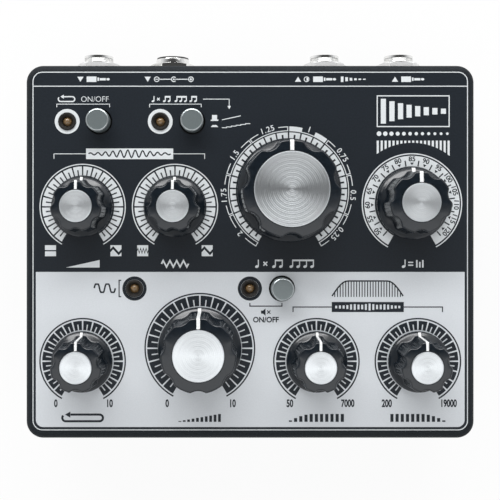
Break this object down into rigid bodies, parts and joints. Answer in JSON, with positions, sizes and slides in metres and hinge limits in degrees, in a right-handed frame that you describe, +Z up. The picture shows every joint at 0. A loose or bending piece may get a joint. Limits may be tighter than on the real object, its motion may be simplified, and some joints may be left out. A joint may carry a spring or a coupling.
{
  "type": "digital echo unit",
  "caption": "Desktop audio echo unit in a drafted die-cast case, with skirted rotary knobs, push buttons, indicator lamps, and jack and power sockets at the rear.",
  "frame": {"origin": "middle of the unit's outline, on the surface that its feet stand on", "axes": "+X to the right along the front edge, +Y towards the rear sockets, +Z up out of the panel"},
  "size_m": [0.145, 0.1264, 0.0608],
  "materials": {
    "case_paint": "fine textured dark grey powder coat",
    "knob_plastic": "glossy moulded black",
    "spun_aluminium": "spun with fine turning marks",
    "button_plastic": "satin metallic grey",
    "plunger_plastic": "moulded off-white",
    "black_plastic": "moulded black",
    "pot_plastic": "moulded dark green",
    "lens": "unlit amber lens",
    "nickel": "bright nickel plate",
    "steel": "plated steel",
    "rubber": "moulded black rubber",
    "board": "green solder mask",
    "chip": "black epoxy",
    "capacitor": "dark blue sleeve",
    "wire": "red insulation",
    "silver_print": "satin silver panel print",
    "dark_print": "satin black panel print",
    "pointer_paint": "white line filled into the knobs"
  },
  "bodies": {
    "case": {"case_shell": "case_paint", "base_plate": "case_paint", "base_screws": "steel", "rubber_feet": "rubber", "main_board": "board", "chips": "chip", "capacitors": "capacitor", "wiring": "wire", "lamps": "lens", "lamp_clips": "black_plastic", "jack_nuts": "nickel", "jack_washers": "steel", "power_socket": "nickel", "power_nut": "nickel", "panel_nuts": "steel", "panel_washers": "steel", "jack_input": "nickel", "jack_mix": "nickel", "jack_output": "nickel", "pot_depth": "pot_plastic", "pot_rate": "pot_plastic", "pot_beat": "pot_plastic", "pot_tempo": "pot_plastic", "pot_feedback": "pot_plastic", "pot_volume": "pot_plastic", "pot_high_pass": "pot_plastic", "pot_low_pass": "pot_plastic", "switch_loop": "black_plastic", "switch_mode": "black_plastic", "switch_mute": "black_plastic"},
    "dial_depth": {"knob_depth": "knob_plastic", "cap_depth": "spun_aluminium", "shaft_depth": "steel"},
    "dial_rate": {"knob_rate": "knob_plastic", "cap_rate": "spun_aluminium", "shaft_rate": "steel"},
    "dial_beat": {"knob_beat": "knob_plastic", "cap_beat": "spun_aluminium", "shaft_beat": "steel"},
    "dial_tempo": {"knob_tempo": "knob_plastic", "cap_tempo": "spun_aluminium", "shaft_tempo": "steel"},
    "dial_feedback": {"knob_feedback": "knob_plastic", "cap_feedback": "spun_aluminium", "shaft_feedback": "steel"},
    "dial_volume": {"knob_volume": "knob_plastic", "cap_volume": "spun_aluminium", "shaft_volume": "steel"},
    "dial_high_pass": {"knob_high_pass": "knob_plastic", "cap_high_pass": "spun_aluminium", "shaft_high_pass": "steel"},
    "dial_low_pass": {"knob_low_pass": "knob_plastic", "cap_low_pass": "spun_aluminium", "shaft_low_pass": "steel"},
    "push_loop": {"button_loop": "button_plastic", "plunger_loop": "plunger_plastic"},
    "push_mode": {"button_mode": "button_plastic", "plunger_mode": "plunger_plastic"},
    "push_mute": {"button_mute": "button_plastic", "plunger_mute": "plunger_plastic"}
  },
  "joints": [
    {"name": "depth_turn", "type": "hinge", "parent": "case", "child": "dial_depth", "pos_m": [-0.05329, 0.01164, 0.042], "axis": [0, 0, 1], "range_deg": [-150, 150]},
    {"name": "rate_turn", "type": "hinge", "parent": "case", "child": "dial_rate", "pos_m": [-0.02392, 0.01164, 0.042], "axis": [0, 0, 1], "range_deg": [-150, 150]},
    {"name": "beat_turn", "type": "hinge", "parent": "case", "child": "dial_beat", "pos_m": [0.01218, 0.01672, 0.042], "axis": [0, 0, 1], "range_deg": [-150, 150]},
    {"name": "tempo_turn", "type": "hinge", "parent": "case", "child": "dial_tempo", "pos_m": [0.0514, 0.01273, 0.042], "axis": [0, 0, 1], "range_deg": [-150, 150]},
    {"name": "feedback_turn", "type": "hinge", "parent": "case", "child": "dial_feedback", "pos_m": [-0.05329, -0.03743, 0.042], "axis": [0, 0, 1], "range_deg": [-150, 150]},
    {"name": "volume_turn", "type": "hinge", "parent": "case", "child": "dial_volume", "pos_m": [-0.01602, -0.03331, 0.042], "axis": [0, 0, 1], "range_deg": [-150, 150]},
    {"name": "high_pass_turn", "type": "hinge", "parent": "case", "child": "dial_high_pass", "pos_m": [0.02102, -0.03743, 0.042], "axis": [0, 0, 1], "range_deg": [-150, 150]},
    {"name": "low_pass_turn", "type": "hinge", "parent": "case", "child": "dial_low_pass", "pos_m": [0.05329, -0.03743, 0.042], "axis": [0, 0, 1], "range_deg": [-150, 150]},
    {"name": "loop_press", "type": "slide", "parent": "case", "child": "push_loop", "axis": [0, 0, -1], "range_m": [0, 0.0025], "stiffness_N_per_m": 600, "springref_m": -0.0005},
    {"name": "mode_press", "type": "slide", "parent": "case", "child": "push_mode", "axis": [0, 0, -1], "range_m": [0, 0.0025], "stiffness_N_per_m": 600, "springref_m": -0.0005},
    {"name": "mute_press", "type": "slide", "parent": "case", "child": "push_mute", "axis": [0, 0, -1], "range_m": [0, 0.0025], "stiffness_N_per_m": 600, "springref_m": -0.0005}
  ]
}
